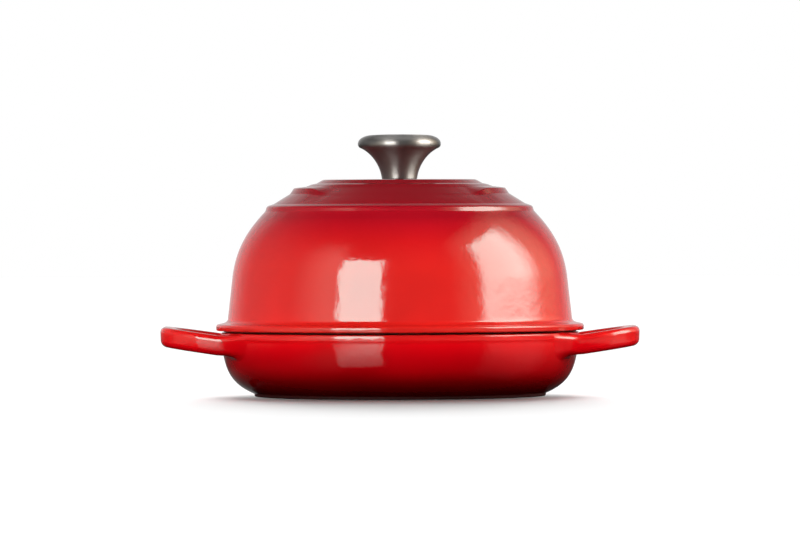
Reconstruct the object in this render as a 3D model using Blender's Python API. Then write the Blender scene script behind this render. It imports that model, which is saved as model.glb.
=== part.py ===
# Cast iron bread oven: a shallow round base with two loop handles, and a domed lid with a steel knob.
# Metres, +Z up. The origin lies under the middle of the foot, X runs through the handles, -Y is the front.
# Outlines are lists of (radius, height) points, turned about the Z axis.
import math

import bpy
import bmesh

# How finely the turned pieces are divided
CASTING_SEGMENTS = 56
ROOT_STEPS = 5
KNOB_SEGMENTS = 32
FASTENER_SEGMENTS = 24

# Gap left between faces that rest on each other
TOUCH_GAP = 0.0003

# Base: foot and bowl
FOOT_RADIUS = 0.0999
FOOT_WIDTH = 0.0095
FOOT_HEIGHT = 0.0019
FOOT_EDGE = 0.0012
UNDERSIDE_RECESS = 0.0010
FLOOR_THICKNESS = 0.0038
FLOOR_BLEND = 0.0080
BOWL_WALL = 0.0034
BOWL_LOWER_ANGLE = 24.0
BOWL_LOWER_PULL = 0.383
BOWL_UPPER_ANGLE = 84.5
BOWL_UPPER_PULL = 0.525

# Base: rim
RIM_HEIGHT = 0.0441
RIM_RADIUS = 0.1230
RIM_WIDTH = 0.0050
RIM_BAND = 0.0047
RIM_PROUD = 0.0006
RIM_OUTER_EDGE = 0.0015
RIM_INNER_EDGE = 0.0008

# Base: raised rings on the cooking floor
FLOOR_RING_COUNT = 4
FLOOR_RING_FIRST = 0.0240
FLOOR_RING_PITCH = 0.0190
FLOOR_RING_WIDTH = 0.0046
FLOOR_RING_TOP_WIDTH = 0.0018
FLOOR_RING_HEIGHT = 0.0015

# Base: loop handles
HANDLE_GAP = 0.02925
HANDLE_HALF_SPAN = 0.0442
HANDLE_ROOT_HEIGHT = 0.0358
HANDLE_RISE = 8.2
STRAP_WIDTH = 0.0118
STRAP_HEIGHT = 0.0136
STRAP_CORNER = 0.0038
END_BAR_HALF_LENGTH = 0.0128
BEND_ROOT_PULL = 0.406
BEND_END_PULL = 0.437
ROOT_LENGTH = 0.0077
ROOT_FLARE_SIDE = 0.0070
ROOT_FLARE_DOWN = 0.0045
ROOT_FLARE_UP = 0.0008
ROOT_STEP_POWER = 1.6

# Lid: seat on the base
LIP_CLEARANCE = 0.0009
LIP_WIDTH = 0.0028
LIP_DEPTH = 0.0038
LIP_EDGE = 0.0008
LAND_WIDTH = 0.0026
LAND_DROP = 0.0009

# Lid: flange
FLANGE_RADIUS = 0.1260
FLANGE_THICKNESS = 0.0045
FLANGE_LOWER_EDGE = 0.0010
FLANGE_UPPER_EDGE = 0.0017
FLANGE_SLOPE = 12.0
FLANGE_FILLET = 0.0038
FLANGE_FILLET_PULL = 0.40

# Lid: dome
LID_HEIGHT = 0.1041
LID_WALL = 0.0032
DOME_RADIUS = 0.11795
DOME_TAPER_ANGLE = 96.3
DOME_TAPER_HEIGHT = 0.0347
DOME_LOWER_PULL = 0.366
DOME_UPPER_ANGLE = 133.3
DOME_UPPER_PULL = 0.403

# Lid: crown, raised ring and shoulder ledge, with drops measured down from the crown
CROWN_RADIUS = 0.0523
CROWN_THICKNESS = 0.0040
CROWN_EDGE_WIDTH = 0.0045
CROWN_EDGE_DROP = 0.0024
CROWN_EDGE_MIDDLE = 0.6
CROWN_INNER_FLAT = 0.0300
CROWN_INNER_PULL = 0.35
DOME_INNER_PULL = 0.30
CONE_RADIUS = 0.0854
CONE_DROP = 0.0161
RING_INNER_RADIUS = 0.0651
RING_INNER_DROP = 0.0052
RING_OUTER_RADIUS = 0.0737
RING_OUTER_DROP = 0.0066
RING_FACE_WIDTH = 0.0016
RING_FACE_DROP = 0.0027
RING_EDGE = 0.0008
PANEL_HALF_ANGLE = 44.0
PANEL_BLEND_ANGLE = 6.0
LEDGE_RADIUS = 0.0918
LEDGE_EDGE_DROP = 0.0183
LEDGE_EDGE = 0.0016
SHOULDER_RADIUS = 0.0928
SHOULDER_DROP = 0.0223

# Knob
KNOB_RADIUS = 0.02845
KNOB_HEIGHT = 0.0306
STEM_RADIUS = 0.01215
STEM_FOOT_EDGE = 0.0004
STEM_ANGLE = 84.0
STEM_PULL = 0.367
FLARE_RADIUS = 0.0270
FLARE_HEIGHT = 0.0214
FLARE_ANGLE = 21.8
FLARE_PULL = 0.305
KNOB_EDGE_ANGLE = 40.0
KNOB_EDGE_PULL = 0.35
KNOB_WIDEST_HEIGHT = 0.0242
KNOB_WIDEST_PULL = 0.45
KNOB_SIDE_PULL = 0.42
KNOB_TOP_RADIUS = 0.0190
KNOB_TOP_DROP = 0.0004
KNOB_TOP_ANGLE = 177.0
KNOB_TOP_PULL = 0.55

# Fastening under the lid
SCREW_RADIUS = 0.0030
SCREW_CLEARANCE = 0.0003
SCREW_LENGTH = 0.0200
SCREW_TIP = 0.0006
SCREW_END_ROOM = 0.0020
HEAD_RADIUS = 0.0060
HEAD_HEIGHT = 0.0040
HEAD_FLAT_RADIUS = 0.0024
HEAD_SIDE_HEIGHT = 0.0010
HEAD_PULL = 0.40
DRIVE_LENGTH = 0.0058
DRIVE_WIDTH = 0.0012
DRIVE_DEPTH = 0.0022
FLAT_WASHER_RADIUS = 0.0080
FLAT_WASHER_THICKNESS = 0.0012
LOCK_WASHER_RADIUS = 0.0059
LOCK_WASHER_THICKNESS = 0.0016
LOCK_WASHER_GAP_ANGLE = 14.0

# Sizes that follow from those above
MOUTH_RADIUS = RIM_RADIUS - RIM_WIDTH
FLOOR_TOP = UNDERSIDE_RECESS + FLOOR_THICKNESS
ROOT_DEPTH = 0.6 * BOWL_WALL
LAND_HEIGHT = RIM_HEIGHT + TOUCH_GAP
CROWN_TOP = LAND_HEIGHT + LID_HEIGHT
CROWN_UNDER = CROWN_TOP - CROWN_THICKNESS
HOLE_RADIUS = SCREW_RADIUS + SCREW_CLEARANCE
KNOB_BASE = CROWN_TOP + TOUCH_GAP
FLAT_WASHER_TOP = CROWN_UNDER - TOUCH_GAP
LOCK_WASHER_TOP = FLAT_WASHER_TOP - FLAT_WASHER_THICKNESS - TOUCH_GAP
SCREW_SEAT = LOCK_WASHER_TOP - LOCK_WASHER_THICKNESS - TOUCH_GAP

RED_ENAMEL = (0.60, 0.012, 0.016, 1.0)
DEEP_RED_ENAMEL = (0.50, 0.010, 0.014, 1.0)
STAINLESS_STEEL = (0.42, 0.39, 0.37, 1.0)
ZINC_STEEL = (0.55, 0.55, 0.56, 1.0)


def arc(centre, radius, start, end, steps):
    """Points on a circular arc, with its angles in degrees from the radius axis."""
    points = []
    for i in range(steps + 1):
        angle = math.radians(start + (end - start) * i / steps)
        points.append((centre[0] + radius * math.cos(angle), centre[1] + radius * math.sin(angle)))
    return points


def moved(point, angle, distance):
    """A point moved by a distance in a direction given in degrees."""
    heading = math.radians(angle)
    return (point[0] + distance * math.cos(heading), point[1] + distance * math.sin(heading))


def curve(start, start_angle, start_pull, end, end_angle, end_pull, steps):
    """Points on a cubic curve that leaves start and reaches end at the two angles, in degrees.

    A pull is the length of a tangent as a share of the straight distance.
    """
    chord = math.dist(start, end)
    first = moved(start, start_angle, start_pull * chord)
    second = moved(end, end_angle, -end_pull * chord)
    points = []
    for i in range(steps + 1):
        t = i / steps
        weights = ((1 - t) ** 3, 3 * t * (1 - t) ** 2, 3 * t * t * (1 - t), t ** 3)
        corners = (start, first, second, end)
        points.append(tuple(sum(w * p[k] for w, p in zip(weights, corners)) for k in (0, 1)))
    return points


def offset_inward(points, distance):
    """The same outline moved to the left of its direction of travel, which is the hollow side."""
    shifted = []
    for i, point in enumerate(points):
        before = points[max(i - 1, 0)]
        after = points[min(i + 1, len(points) - 1)]
        run = (after[0] - before[0], after[1] - before[1])
        length = math.hypot(*run)
        shifted.append((point[0] - distance * run[1] / length, point[1] + distance * run[0] / length))
    return shifted


def height_on_line(start, end, radius):
    """Height at a radius on the straight line through two outline points."""
    share = (radius - start[0]) / (end[0] - start[0])
    return start[1] + share * (end[1] - start[1])


def radius_at_height(points, height):
    """Radius at a height on an outline whose points rise."""
    for low, high in zip(points, points[1:]):
        if height <= high[1]:
            share = max(0.0, (height - low[1]) / (high[1] - low[1]))
            return low[0] + share * (high[0] - low[0])
    return points[-1][0]


def make_material(name, colour, roughness, metallic):
    """A plain Principled material."""
    material = bpy.data.materials.new(name)
    material.use_nodes = True
    shader = material.node_tree.nodes["Principled BSDF"]
    shader.inputs["Base Color"].default_value = colour
    shader.inputs["Roughness"].default_value = roughness
    shader.inputs["Metallic"].default_value = metallic
    return material


def make_object(name, bm, material=None):
    """Turn a bmesh into a closed, smoothly shaded object."""
    bmesh.ops.recalc_face_normals(bm, faces=bm.faces)
    mesh = bpy.data.meshes.new(name)
    bm.to_mesh(mesh)
    bm.free()
    mesh.shade_smooth()
    mesh.set_sharp_from_angle(angle=math.radians(35))
    if material:
        mesh.materials.append(material)
    piece = bpy.data.objects.new(name, mesh)
    bpy.context.collection.objects.link(piece)
    return piece


def make_guide(name, bm):
    """A helper solid that only a Boolean modifier uses."""
    guide = make_object(name, bm)
    guide.hide_render = True
    guide.display_type = "WIRE"
    return guide


def add_boolean(piece, guide, operation):
    """Join a guide to a piece or cut it away."""
    modifier = piece.modifiers.new(guide.name, "BOOLEAN")
    modifier.operation = operation
    modifier.object = guide
    modifier.solver = "EXACT"


def turned(points, segments, closed, angle=2 * math.pi):
    """Spin an outline about the Z axis. An open outline starts and ends on the axis."""
    bm = bmesh.new()
    verts = [bm.verts.new((radius, 0.0, height)) for radius, height in points]
    edges = [bm.edges.new(pair) for pair in zip(verts, verts[1:])]
    if closed:
        edges.append(bm.edges.new((verts[-1], verts[0])))
    full_turn = angle == 2 * math.pi
    if not full_turn:
        bm.faces.new(verts)
    bmesh.ops.spin(
        bm, geom=verts + edges + list(bm.faces), axis=(0, 0, 1), cent=(0, 0, 0), angle=angle,
        steps=segments, use_merge=full_turn,
    )
    bmesh.ops.remove_doubles(bm, verts=bm.verts, dist=1e-7)
    bmesh.ops.dissolve_degenerate(bm, edges=bm.edges, dist=1e-7)
    return bm


def bowl_curve():
    """Outside of the bowl, from the foot up to the underside of the rim band."""
    return curve(
        (FOOT_RADIUS, FOOT_HEIGHT), BOWL_LOWER_ANGLE, BOWL_LOWER_PULL,
        (RIM_RADIUS - RIM_PROUD, RIM_HEIGHT - RIM_BAND), BOWL_UPPER_ANGLE, BOWL_UPPER_PULL, 9,
    )


def base_outside():
    """Outside of the bowl and its rim band, up to the rim's rounded top edge."""
    band_start = (RIM_RADIUS, RIM_HEIGHT - RIM_BAND + 2 * RIM_PROUD)
    return bowl_curve() + [band_start, (RIM_RADIUS, RIM_HEIGHT - RIM_OUTER_EDGE)]


def base_outline():
    """Half section of the bowl, from the middle of its underside round to the middle of its floor."""
    foot_inside = FOOT_RADIUS - FOOT_WIDTH
    points = [(0.0, UNDERSIDE_RECESS), (foot_inside - UNDERSIDE_RECESS, UNDERSIDE_RECESS)]
    points.append((foot_inside, 0.0))
    points += arc((FOOT_RADIUS - FOOT_EDGE, FOOT_EDGE), FOOT_EDGE, -90, 0, 2)
    points += base_outside()[:-1]
    points += arc((RIM_RADIUS - RIM_OUTER_EDGE, RIM_HEIGHT - RIM_OUTER_EDGE), RIM_OUTER_EDGE, 0, 90, 3)
    points += [(MOUTH_RADIUS + RIM_INNER_EDGE, RIM_HEIGHT), (MOUTH_RADIUS, RIM_HEIGHT - RIM_INNER_EDGE)]
    inside = offset_inward(bowl_curve(), BOWL_WALL)[1:-1:2]
    points += [point for point in reversed(inside) if point[0] < MOUTH_RADIUS]
    floor_edge = inside[0][0] - FLOOR_BLEND
    points.append((floor_edge, FLOOR_TOP))
    for i in reversed(range(FLOOR_RING_COUNT)):
        middle = FLOOR_RING_FIRST + i * FLOOR_RING_PITCH
        ring_top = FLOOR_TOP + FLOOR_RING_HEIGHT
        points.append((middle + FLOOR_RING_WIDTH / 2, FLOOR_TOP))
        points.append((middle + FLOOR_RING_TOP_WIDTH / 2, ring_top))
        points.append((middle - FLOOR_RING_TOP_WIDTH / 2, ring_top))
        points.append((middle - FLOOR_RING_WIDTH / 2, FLOOR_TOP))
    points.append((0.0, FLOOR_TOP))
    return points


def strap_section():
    """Rounded rectangle across the strap, as (outward, up) points round its middle."""
    wide = STRAP_WIDTH / 2 - STRAP_CORNER
    tall = STRAP_HEIGHT / 2 - STRAP_CORNER
    points = []
    for side, level, start in ((1, 1, 0), (-1, 1, 90), (-1, -1, 180), (1, -1, 270)):
        points += arc((side * wide, level * tall), STRAP_CORNER, start, start + 90, 3)
    return points


def strap_stations():
    """Points along half of the handle's middle line, each with its heading in degrees off the X axis.

    The line leaves the bowl along +X and bends round until it runs across the end of the loop.
    """
    root_radius = radius_at_height(base_outside(), HANDLE_ROOT_HEIGHT)
    root_x = math.sqrt(root_radius ** 2 - HANDLE_HALF_SPAN ** 2) + ROOT_LENGTH
    end_x = RIM_RADIUS + HANDLE_GAP + STRAP_WIDTH / 2
    line = curve(
        (root_x, HANDLE_HALF_SPAN), 0, BEND_ROOT_PULL,
        (end_x, END_BAR_HALF_LENGTH), -90, BEND_END_PULL, 90,
    )
    stations = []
    for i in range(0, len(line), 10):
        before = line[max(i - 1, 0)]
        after = line[min(i + 1, len(line) - 1)]
        heading = math.degrees(math.atan2(before[1] - after[1], after[0] - before[0]))
        stations.append((line[i][0], line[i][1], heading))
    return stations


def strap_height(x, straight_x):
    """Height of the strap's middle line, which climbs away from the bowl."""
    return HANDLE_ROOT_HEIGHT + (x - straight_x) * math.tan(math.radians(HANDLE_RISE))


def root_ring(share, straight_x):
    """One ring of the flared root. Share 0 lies on the bowl and share 1 is the strap's own section."""
    wall = base_outside()
    flare = 1 - math.sqrt(1 - (1 - share) ** 2)
    ring = []
    for out, up in strap_section():
        grow_side = ROOT_FLARE_SIDE * out / (STRAP_WIDTH / 2)
        grow_up = (ROOT_FLARE_UP if up > 0 else ROOT_FLARE_DOWN) * up / (STRAP_HEIGHT / 2)
        y = HANDLE_HALF_SPAN + out + flare * grow_side
        z = HANDLE_ROOT_HEIGHT + up + flare * grow_up
        wall_x = math.sqrt(radius_at_height(wall, z) ** 2 - y ** 2)
        x = wall_x + share * (straight_x - wall_x)
        climb = strap_height(x, straight_x) - HANDLE_ROOT_HEIGHT
        ring.append((x, y, z + climb * (1 - flare)))
    return ring


def handle_rings():
    """All rings of one handle on the +X side, from inside one wall to inside the other."""
    stations = strap_stations()
    straight_x = stations[0][0]
    half = [root_ring((i / ROOT_STEPS) ** ROOT_STEP_POWER, straight_x) for i in range(ROOT_STEPS)]
    first = []
    for x, y, z in half[0]:
        shrink = 1 - ROOT_DEPTH / math.hypot(x, y)
        first.append((x * shrink, y * shrink, z))
    half.insert(0, first)
    for x, y, angle in stations:
        heading = math.radians(angle)
        ring = []
        for out, up in strap_section():
            plan_x = x + out * math.sin(heading)
            plan_y = y + out * math.cos(heading)
            ring.append((plan_x, plan_y, strap_height(plan_x, straight_x) + up))
        half.append(ring)
    other_half = [[(x, -y, z) for x, y, z in ring] for ring in reversed(half)]
    return half + other_half


def make_handle_guide(name, side):
    """Loft the rings of one handle into a closed solid on the given side of the bowl."""
    bm = bmesh.new()
    loops = []
    for ring in handle_rings():
        verts = [bm.verts.new((side * x, side * y, z)) for x, y, z in ring]
        loops.append([bm.edges.new((a, b)) for a, b in zip(verts, verts[1:] + verts[:1])])
        if len(loops) == 1:
            first_verts = verts
    bm.faces.new(first_verts)
    bm.faces.new(verts)
    for lower, upper in zip(loops, loops[1:]):
        bmesh.ops.bridge_loops(bm, edges=lower + upper)
    return make_guide(name, bm)


def make_base(material):
    """The shallow cast dish with its two loop handles, one casting."""
    base = make_object("base", turned(base_outline(), CASTING_SEGMENTS, closed=False), material)
    for name, side in (("right_handle_guide", 1), ("left_handle_guide", -1)):
        add_boolean(base, make_handle_guide(name, side), "UNION")
    return base


def crown_edge():
    """Lower edge of the crown, where the cone starts."""
    return (CROWN_RADIUS + CROWN_EDGE_WIDTH, CROWN_TOP - CROWN_EDGE_DROP)


def cone_foot():
    """Lower end of the cone, where the shoulder ledge starts."""
    return (CONE_RADIUS, CROWN_TOP - CONE_DROP)


def dome_curve():
    """Outside of the dome, from the flange's fillet up to the shoulder ledge.

    The wall tapers straight at first and then turns over to the ledge.
    """
    start_height = LAND_HEIGHT + LAND_DROP + FLANGE_THICKNESS + FLANGE_FILLET
    taper_end_height = LAND_HEIGHT + DOME_TAPER_HEIGHT
    lean = math.radians(DOME_TAPER_ANGLE - 90)
    taper_end = (DOME_RADIUS - (taper_end_height - start_height) * math.tan(lean), taper_end_height)
    bend = curve(
        taper_end, DOME_TAPER_ANGLE, DOME_LOWER_PULL,
        (SHOULDER_RADIUS, CROWN_TOP - SHOULDER_DROP), DOME_UPPER_ANGLE, DOME_UPPER_PULL, 8,
    )
    return [(DOME_RADIUS, start_height)] + bend


def lid_seat():
    """Underside of the lid: its locating lip, the land on the base's rim and the flange's lower edge."""
    lip_outside = MOUTH_RADIUS - LIP_CLEARANCE
    lip_bottom = LAND_HEIGHT - LIP_DEPTH
    land_outside = MOUTH_RADIUS + LAND_WIDTH
    under = LAND_HEIGHT + LAND_DROP
    return [
        (lip_outside - LIP_WIDTH, lip_bottom + LIP_EDGE),
        (lip_outside - LIP_WIDTH + LIP_EDGE, lip_bottom),
        (lip_outside - LIP_EDGE, lip_bottom),
        (lip_outside, lip_bottom + LIP_EDGE),
        (lip_outside, LAND_HEIGHT),
        (land_outside, LAND_HEIGHT),
        (land_outside + LAND_DROP, under),
    ]


def lid_outline():
    """Closed half section of the lid, round from its locating lip over the outside and back inside."""
    under = LAND_HEIGHT + LAND_DROP
    top = under + FLANGE_THICKNESS
    points = lid_seat()
    lower = (FLANGE_RADIUS - FLANGE_LOWER_EDGE, under + FLANGE_LOWER_EDGE)
    points += arc(lower, FLANGE_LOWER_EDGE, -90, 0, 2)
    upper = (FLANGE_RADIUS - FLANGE_UPPER_EDGE, top - FLANGE_UPPER_EDGE)
    points += arc(upper, FLANGE_UPPER_EDGE, 0, 90 - FLANGE_SLOPE, 3)
    slope = math.tan(math.radians(FLANGE_SLOPE))
    fillet_radius = DOME_RADIUS + FLANGE_FILLET
    fillet_start = (fillet_radius, points[-1][1] + (points[-1][0] - fillet_radius) * slope)
    dome = dome_curve()
    points += curve(
        fillet_start, 180 - FLANGE_SLOPE, FLANGE_FILLET_PULL,
        dome[0], DOME_TAPER_ANGLE, FLANGE_FILLET_PULL, 3,
    )[:-1]
    points += dome
    ledge = (LEDGE_RADIUS - LEDGE_EDGE, CROWN_TOP - LEDGE_EDGE_DROP)
    points += arc((ledge[0], ledge[1] - LEDGE_EDGE), LEDGE_EDGE, 0, 66, 2)
    points.append(cone_foot())
    face_top = (RING_OUTER_RADIUS, CROWN_TOP - RING_OUTER_DROP)
    points.append((face_top[0] + RING_FACE_WIDTH, face_top[1] - RING_FACE_DROP))
    points.append((face_top[0] + RING_EDGE / 2, face_top[1] - RING_EDGE))
    points.append((face_top[0] - RING_EDGE, face_top[1]))
    points.append((RING_INNER_RADIUS, CROWN_TOP - RING_INNER_DROP))
    edge = crown_edge()
    points.append(edge)
    middle_radius = CROWN_RADIUS + CROWN_EDGE_MIDDLE * CROWN_EDGE_WIDTH
    points.append((middle_radius, CROWN_TOP - (1 - CROWN_EDGE_MIDDLE) * CROWN_EDGE_DROP))
    points.append((CROWN_RADIUS, CROWN_TOP))
    points += [(HOLE_RADIUS, CROWN_TOP), (HOLE_RADIUS, CROWN_UNDER), (CROWN_INNER_FLAT, CROWN_UNDER)]
    inside = offset_inward(dome, LID_WALL)[::-2][::-1]
    points += curve(
        (CROWN_INNER_FLAT, CROWN_UNDER), 0, CROWN_INNER_PULL,
        inside[-1], DOME_UPPER_ANGLE - 180, DOME_INNER_PULL, 6,
    )[1:-1]
    inner_mouth = MOUTH_RADIUS - LIP_CLEARANCE - LIP_WIDTH
    points += [point for point in reversed(inside) if point[0] < inner_mouth]
    return points


def press_front_panel(bm):
    """Press the raised ring back to the plain cone across the front, with a short run-out at each end."""
    for vert in bm.verts:
        radius = math.hypot(vert.co.x, vert.co.y)
        if not crown_edge()[0] < radius < CONE_RADIUS - 1e-6:
            continue
        cone = height_on_line(crown_edge(), cone_foot(), radius)
        from_front = abs(math.degrees(math.atan2(vert.co.x, -vert.co.y)))
        ring_share = (from_front - PANEL_HALF_ANGLE) / PANEL_BLEND_ANGLE + 0.5
        if vert.co.z > cone:
            vert.co.z = cone + (vert.co.z - cone) * min(1.0, max(0.0, ring_share))


def make_lid(material):
    """The domed lid: flange, dome, shoulder ledge and a raised ring with a plain front panel."""
    bm = turned(lid_outline(), CASTING_SEGMENTS, closed=True)
    press_front_panel(bm)
    return make_object("lid", bm, material)


def make_knob(material):
    """The turned knob with its blind screw hole."""
    widest = KNOB_BASE + KNOB_WIDEST_HEIGHT
    top = KNOB_BASE + KNOB_HEIGHT
    hole_end = SCREW_SEAT + SCREW_LENGTH + SCREW_END_ROOM
    flare_end = (FLARE_RADIUS, KNOB_BASE + FLARE_HEIGHT)
    stem_foot = (STEM_RADIUS, KNOB_BASE + STEM_FOOT_EDGE)
    points = [(0.0, hole_end), (HOLE_RADIUS, hole_end), (HOLE_RADIUS, KNOB_BASE)]
    points.append((STEM_RADIUS - STEM_FOOT_EDGE, KNOB_BASE))
    points += curve(stem_foot, STEM_ANGLE, STEM_PULL, flare_end, FLARE_ANGLE, FLARE_PULL, 8)
    points += curve(
        flare_end, KNOB_EDGE_ANGLE, KNOB_EDGE_PULL, (KNOB_RADIUS, widest), 90, KNOB_WIDEST_PULL, 3,
    )[1:]
    top_edge = (KNOB_TOP_RADIUS, top - KNOB_TOP_DROP)
    points += curve(
        (KNOB_RADIUS, widest), 90, KNOB_SIDE_PULL, top_edge, KNOB_TOP_ANGLE, KNOB_TOP_PULL, 6,
    )[1:]
    points.append((0.0, top))
    return make_object("knob", turned(points, KNOB_SEGMENTS, closed=False), material)


def make_drive_guide(name, length, width):
    """One bar of the cross recess in the screw's head."""
    bm = bmesh.new()
    bmesh.ops.create_cube(bm, size=1.0)
    middle = SCREW_SEAT - HEAD_HEIGHT
    for vert in bm.verts:
        vert.co.x *= length
        vert.co.y *= width
        vert.co.z = middle + vert.co.z * 2 * DRIVE_DEPTH
    return make_guide(name, bm)


def make_screw(material):
    """Pan head screw, pushed up through the lid into the knob."""
    head_bottom = SCREW_SEAT - HEAD_HEIGHT
    side_start = (HEAD_RADIUS, SCREW_SEAT - HEAD_SIDE_HEIGHT)
    points = [(0.0, head_bottom)]
    points += curve((HEAD_FLAT_RADIUS, head_bottom), 0, HEAD_PULL, side_start, 90, HEAD_PULL, 4)
    points += [(HEAD_RADIUS, SCREW_SEAT), (SCREW_RADIUS, SCREW_SEAT)]
    points.append((SCREW_RADIUS, SCREW_SEAT + SCREW_LENGTH - SCREW_TIP))
    points += [(SCREW_RADIUS - SCREW_TIP, SCREW_SEAT + SCREW_LENGTH), (0.0, SCREW_SEAT + SCREW_LENGTH)]
    screw = make_object("knob_screw", turned(points, FASTENER_SEGMENTS, closed=False), material)
    add_boolean(screw, make_drive_guide("drive_guide_long", DRIVE_LENGTH, DRIVE_WIDTH), "DIFFERENCE")
    add_boolean(screw, make_drive_guide("drive_guide_cross", DRIVE_WIDTH, DRIVE_LENGTH), "DIFFERENCE")
    return screw


def washer_outline(radius, top, thickness):
    """Closed rectangular section of a washer."""
    bottom = top - thickness
    return [(HOLE_RADIUS, bottom), (radius, bottom), (radius, top), (HOLE_RADIUS, top)]


def make_flat_washer(material):
    """Plain washer that spares the enamel under the crown."""
    points = washer_outline(FLAT_WASHER_RADIUS, FLAT_WASHER_TOP, FLAT_WASHER_THICKNESS)
    return make_object("flat_washer", turned(points, FASTENER_SEGMENTS, closed=True), material)


def make_lock_washer(material):
    """Split spring washer under the screw's head, pressed flat."""
    points = washer_outline(LOCK_WASHER_RADIUS, LOCK_WASHER_TOP, LOCK_WASHER_THICKNESS)
    sweep = math.radians(360 - LOCK_WASHER_GAP_ANGLE)
    return make_object("lock_washer", turned(points, FASTENER_SEGMENTS, closed=True, angle=sweep), material)


def main():
    """Build every piece of the oven."""
    for old in list(bpy.data.objects):
        bpy.data.objects.remove(old, do_unlink=True)
    make_base(make_material("red enamel on the base", RED_ENAMEL, 0.22, 0.0))
    make_lid(make_material("red enamel on the lid", DEEP_RED_ENAMEL, 0.22, 0.0))
    make_knob(make_material("stainless steel", STAINLESS_STEEL, 0.32, 1.0))
    make_screw(make_material("zinc plated screw", ZINC_STEEL, 0.35, 1.0))
    make_flat_washer(make_material("zinc plated washer", ZINC_STEEL, 0.40, 1.0))
    make_lock_washer(make_material("spring steel washer", ZINC_STEEL, 0.45, 1.0))


main()
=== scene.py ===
import math
import bpy
import bmesh
import numpy as np
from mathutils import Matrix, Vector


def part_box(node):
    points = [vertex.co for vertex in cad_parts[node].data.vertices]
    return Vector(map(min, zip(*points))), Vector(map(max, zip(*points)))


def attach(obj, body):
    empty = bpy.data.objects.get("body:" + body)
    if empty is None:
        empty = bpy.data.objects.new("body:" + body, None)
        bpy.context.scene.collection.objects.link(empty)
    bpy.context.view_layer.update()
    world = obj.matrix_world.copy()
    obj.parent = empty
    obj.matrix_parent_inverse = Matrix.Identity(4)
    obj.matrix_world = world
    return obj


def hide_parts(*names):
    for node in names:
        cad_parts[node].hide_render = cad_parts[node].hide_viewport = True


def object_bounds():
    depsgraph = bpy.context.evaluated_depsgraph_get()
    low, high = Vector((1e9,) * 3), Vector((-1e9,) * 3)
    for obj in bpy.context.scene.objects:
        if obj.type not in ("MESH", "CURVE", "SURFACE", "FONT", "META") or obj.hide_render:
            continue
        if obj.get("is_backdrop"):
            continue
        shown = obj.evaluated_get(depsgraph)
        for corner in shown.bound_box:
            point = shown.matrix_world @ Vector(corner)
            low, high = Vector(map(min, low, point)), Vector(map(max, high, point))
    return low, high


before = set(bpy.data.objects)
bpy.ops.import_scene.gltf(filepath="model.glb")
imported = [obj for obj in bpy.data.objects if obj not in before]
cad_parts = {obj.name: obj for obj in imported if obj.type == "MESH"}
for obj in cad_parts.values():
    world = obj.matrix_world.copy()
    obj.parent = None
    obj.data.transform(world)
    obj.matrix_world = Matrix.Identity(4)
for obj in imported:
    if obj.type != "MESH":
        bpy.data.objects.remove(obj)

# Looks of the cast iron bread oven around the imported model, in metres, +Z up and -Y to the front.
# Every piece is a grid of points worked out with numpy. The studio and the camera come last.
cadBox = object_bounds()
print("frame loaded:", sorted(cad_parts))

# lengths under the first count as nothing, and points of an outline closer than the second count as one
tinyLength, doubledPoint = 1e-7, 2e-6


# Outlines are arrays of (radius, height)
def arcLine(centre, radius, start, end, steps):
    # centre plus the radius turned through the angles, in degrees from the radius axis
    angle = np.radians(np.linspace(start, end, steps + 1))
    return np.column_stack([centre[0] + radius * np.cos(angle), centre[1] + radius * np.sin(angle)])


def cubicAt(t, start, first, second, end):
    # the point at the share t of the cubic curve with these four control points
    near = (1 - t) ** 3 * start + 3 * t * (1 - t) ** 2 * first
    return near + 3 * t * t * (1 - t) * second + t ** 3 * end


def bendLine(start, startAngle, startPull, end, endAngle, endPull, steps):
    # cubic curve whose two inner corners lie along the end directions, each a share of the chord away
    start, end = np.array(start, float), np.array(end, float)
    chord = np.hypot(*(end - start))
    leave, reach = math.radians(startAngle), math.radians(endAngle)
    first = start + startPull * chord * np.array([math.cos(leave), math.sin(leave)])
    second = end - endPull * chord * np.array([math.cos(reach), math.sin(reach)])
    return cubicAt(np.linspace(0, 1, steps + 1)[:, None], start, first, second, end)


def softLine(corners, steps=5):
    # corners are (radius, height, rounding); each inner corner becomes an arc that touches both sides
    # and takes just under half of the shorter one at most
    corners = np.array(corners, float)
    parts = [corners[:1, :2]]
    for before, here, after in zip(corners, corners[1:], corners[2:]):
        back, on = before[:2] - here[:2], after[:2] - here[:2]
        longest = 0.49 * min(np.hypot(*back), np.hypot(*on))
        back, on = back / np.hypot(*back), on / np.hypot(*on)
        half = 0.5 * math.acos(np.clip(back @ on, -1, 1))
        reach = min(here[2] / math.tan(half), longest)
        if reach < tinyLength:
            parts.append(here[None, :2])
            continue
        t = np.linspace(0, 1, steps + 1)[:, None]
        start, end = here[:2] + reach * back, here[:2] + reach * on
        # rational quadratic with the half angle's sine as its middle weight, which is an exact arc
        weight = math.sin(half)
        above = (1 - t) ** 2 * start + 2 * weight * t * (1 - t) * here[:2] + t * t * end
        parts.append(above / ((1 - t) ** 2 + 2 * weight * t * (1 - t) + t * t))
    return np.vstack(parts + [corners[-1:, :2]])


def offsetLine(points, distance):
    # each point moved to the left of the direction of travel
    run = np.gradient(points, axis=0)
    run /= np.hypot(run[:, 0], run[:, 1])[:, None]
    return points + distance * np.column_stack([-run[:, 1], run[:, 0]])


def joinLines(*stretches):
    # one outline and the number of the finish on each of its segments, without doubled points
    points = np.vstack([line for line, _ in stretches])
    finish = np.concatenate([np.full(len(line), number) for line, number in stretches])
    apart = np.hypot(*np.diff(points, axis=0).T) > doubledPoint
    keep = np.concatenate([[True], apart])
    return points[keep], finish[keep]


def smoothStep(low, high, value):
    # t squared times (3 - 2t), where t is the value's share of the way from low to high
    share = np.clip((value - low) / (high - low), 0, 1)
    return share * share * (3 - 2 * share)


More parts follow.
